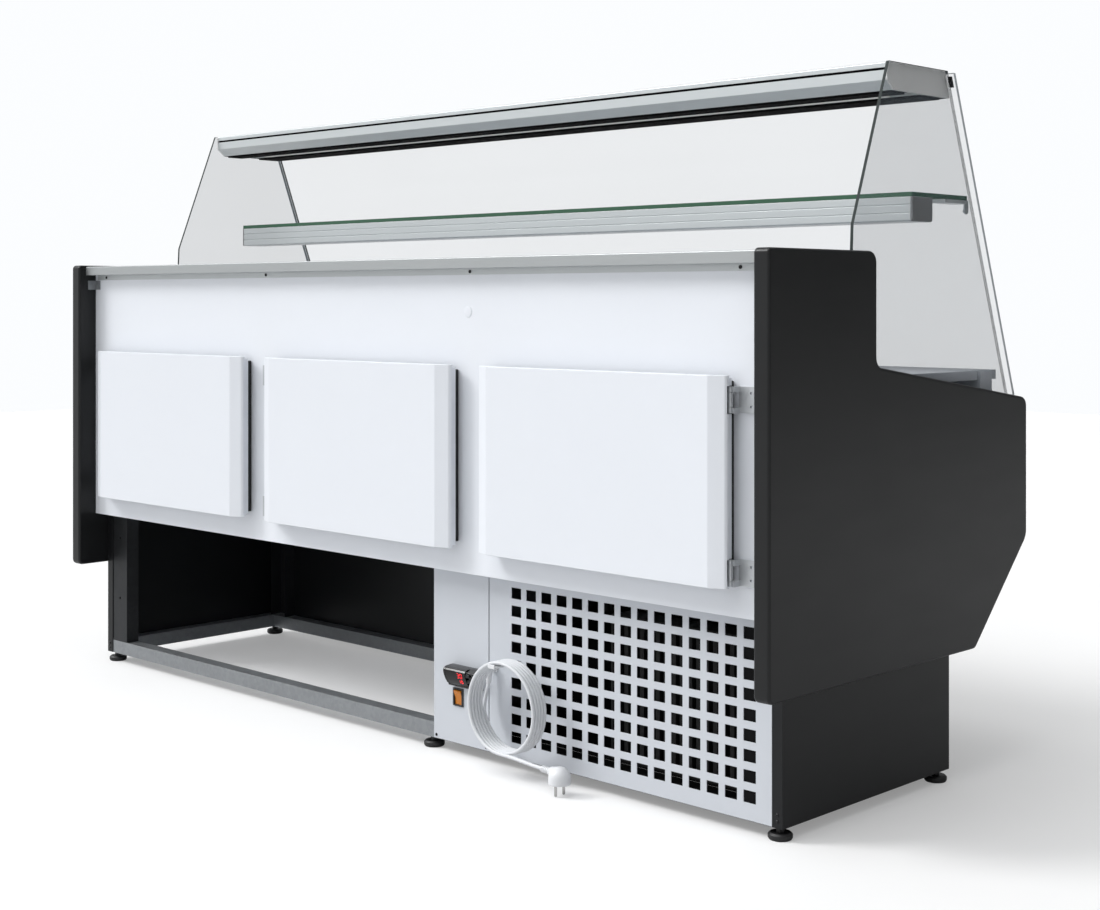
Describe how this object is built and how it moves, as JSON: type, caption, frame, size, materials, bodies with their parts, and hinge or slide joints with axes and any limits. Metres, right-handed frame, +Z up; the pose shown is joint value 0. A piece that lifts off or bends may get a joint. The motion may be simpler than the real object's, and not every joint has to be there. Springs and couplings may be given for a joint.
{
  "type": "refrigerated deli case",
  "caption": "Long serve-over refrigerated counter: slanted front glass, canopy, glass shelf, black end panels, white rear wall with doors, open bay, machine grille and coiled mains cord",
  "frame": {"origin": "On the floor, under the middle of the case without its cord", "axes": "+X along the case to the staff's left, +Y to the staff side with the doors, +Z up"},
  "size_m": [1.94, 0.753, 1.2],
  "materials": {
    "galvanised": "zinc-coated, soft sheen",
    "black_sheet": "satin powder coat",
    "white_sheet": "smooth satin powder coat",
    "black_board": "satin black laminate over board",
    "foam": "rigid foam",
    "steel": "fine brushed stainless",
    "board": "raw chipboard",
    "glass": "clear, polished edges",
    "aluminium": "natural anodised",
    "lamp": "opal diffuser",
    "shelf_glass": "clear with green edges",
    "grey_plastic": "fine moulded grain",
    "hinge_steel": "plain, light grey",
    "black_iron": "gloss black enamel",
    "fin_metal": "dull fins",
    "copper": "bare copper",
    "black_plastic": "fine moulded grain",
    "white_plastic": "smooth moulded",
    "cord": "smooth soft sheath",
    "black_steel": "blackened",
    "door_white": "smooth white lacquer",
    "seal": "soft black gasket",
    "foot_rubber": "moulded black",
    "amber_plastic": "translucent amber"
  },
  "bodies": {
    "case": {"base_frame": "galvanised", "base_panels": "black_sheet", "partition_panel": "galvanised", "controller_panel": "white_sheet", "grille_panel": "white_sheet", "end_panel_left": "black_board", "end_panel_right": "black_board", "rear_skin": "white_sheet", "insulation": "foam", "tank_liner": "steel", "front_fascia": "black_board", "deck_rails": "galvanised", "deck_trays": "steel", "evaporator_cover": "white_sheet", "worktop": "steel", "worktop_board": "board", "worktop_strip": "steel", "side_glasses": "glass", "front_glass": "glass", "canopy_profile": "aluminium", "canopy_lamp": "lamp", "shelf_glass": "shelf_glass", "shelf_profile": "aluminium", "profile_end_caps": "grey_plastic", "shelf_brackets": "aluminium", "hinge_frame_leaves": "hinge_steel", "unit_base_plate": "galvanised", "compressor": "black_iron", "condenser": "fin_metal", "fan_motors": "black_iron", "evaporator": "fin_metal", "refrigerant_pipes": "copper", "controller": "black_plastic", "switch_bezel": "black_plastic", "cord_gland": "white_plastic", "cord_hook": "white_plastic", "cord_lead": "cord", "cord_coil": "cord", "cord_tail": "cord", "plug": "white_plastic", "fixings": "black_steel"},
    "door_left": {"door_left": "door_white", "seal_left": "seal", "hinge_leaves_left": "hinge_steel"},
    "door_middle": {"door_middle": "door_white", "seal_middle": "seal", "hinge_leaves_middle": "hinge_steel"},
    "door_right": {"door_right": "door_white", "seal_right": "seal", "hinge_leaves_right": "hinge_steel"},
    "rocker": {"rocker": "amber_plastic"},
    "button_up": {"button_up": "black_plastic"},
    "button_down": {"button_down": "black_plastic"},
    "condenser_fan": {"condenser_fan": "fin_metal"},
    "evaporator_fan": {"evaporator_fan": "fin_metal"},
    "foot_rear_left": {"foot_rear_left": "foot_rubber"},
    "foot_rear_middle": {"foot_rear_middle": "foot_rubber"},
    "foot_rear_right": {"foot_rear_right": "foot_rubber"},
    "foot_front_left": {"foot_front_left": "foot_rubber"},
    "foot_front_right": {"foot_front_right": "foot_rubber"}
  },
  "joints": [
    {"name": "door_left_hinge", "type": "hinge", "parent": "case", "child": "door_left", "pos_m": [0.878, 0.35, 0.54], "axis": [0, 0, -1], "range_deg": [0, 100]},
    {"name": "door_middle_hinge", "type": "hinge", "parent": "case", "child": "door_middle", "pos_m": [0.266, 0.35, 0.54], "axis": [0, 0, -1], "range_deg": [0, 100]},
    {"name": "door_right_hinge", "type": "hinge", "parent": "case", "child": "door_right", "pos_m": [-0.878, 0.35, 0.54], "axis": [0, 0, 1], "range_deg": [0, 100]},
    {"name": "rocker_tilt", "type": "hinge", "parent": "case", "child": "rocker", "pos_m": [-0.227, 0.3, 0.104], "axis": [1, 0, 0], "range_deg": [0, 24]},
    {"name": "button_up_press", "type": "slide", "parent": "case", "child": "button_up", "axis": [0, -1, 0], "range_m": [0, 0.001], "stiffness_N_per_m": 500, "springref_m": -0.0005},
    {"name": "button_down_press", "type": "slide", "parent": "case", "child": "button_down", "axis": [0, -1, 0], "range_m": [0, 0.001], "stiffness_N_per_m": 500, "springref_m": -0.0005},
    {"name": "condenser_fan_spin", "type": "hinge", "parent": "case", "child": "condenser_fan", "pos_m": [-0.73, 0.196, 0.17], "axis": [0, 1, 0], "continuous": true},
    {"name": "evaporator_fan_spin", "type": "hinge", "parent": "case", "child": "evaporator_fan", "pos_m": [0.235, 0.142, 0.779], "axis": [0, 1, 0], "continuous": true},
    {"name": "foot_rear_left_turn", "type": "hinge", "parent": "case", "child": "foot_rear_left", "pos_m": [0.9235, 0.2865, 0.01], "axis": [0, 0, 1], "continuous": true},
    {"name": "foot_rear_middle_turn", "type": "hinge", "parent": "case", "child": "foot_rear_middle", "pos_m": [-0.144, 0.2865, 0.01], "axis": [0, 0, 1], "continuous": true},
    {"name": "foot_rear_right_turn", "type": "hinge", "parent": "case", "child": "foot_rear_right", "pos_m": [-0.9235, 0.2865, 0.01], "axis": [0, 0, 1], "continuous": true},
    {"name": "foot_front_left_turn", "type": "hinge", "parent": "case", "child": "foot_front_left", "pos_m": [0.9235, -0.1495, 0.01], "axis": [0, 0, 1], "continuous": true},
    {"name": "foot_front_right_turn", "type": "hinge", "parent": "case", "child": "foot_front_right", "pos_m": [-0.9235, -0.1495, 0.01], "axis": [0, 0, 1], "continuous": true}
  ]
}
